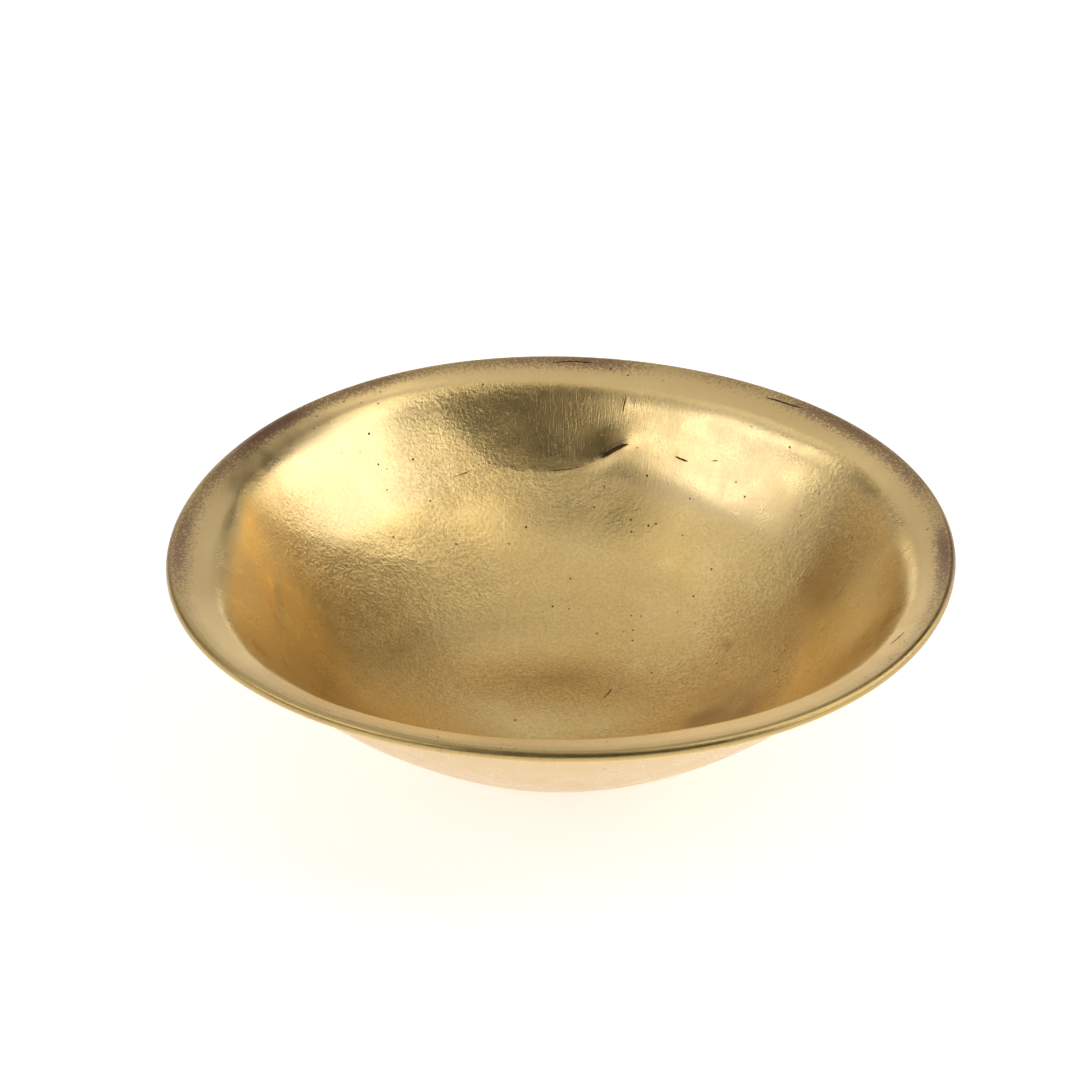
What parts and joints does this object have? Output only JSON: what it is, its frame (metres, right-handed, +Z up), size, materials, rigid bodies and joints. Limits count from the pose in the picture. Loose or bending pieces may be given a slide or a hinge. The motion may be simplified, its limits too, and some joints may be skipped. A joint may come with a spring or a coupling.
{
  "type": "urli bowl",
  "caption": "Shallow flared brass bowl with a sloping rim band, a hand-pressed wavering wall and a small flat foot.",
  "frame": {"origin": "middle of the bowl's footprint, on the surface that it stands on", "axes": "+Z up through the mouth, +X to the right and -Y towards a viewer at the front"},
  "size_m": [0.1994, 0.1994, 0.052],
  "materials": {
    "brass": "satin, brushed cast brass with light patina"
  },
  "bodies": {
    "root": {"bowl": "brass"}
  },
  "joints": []
}
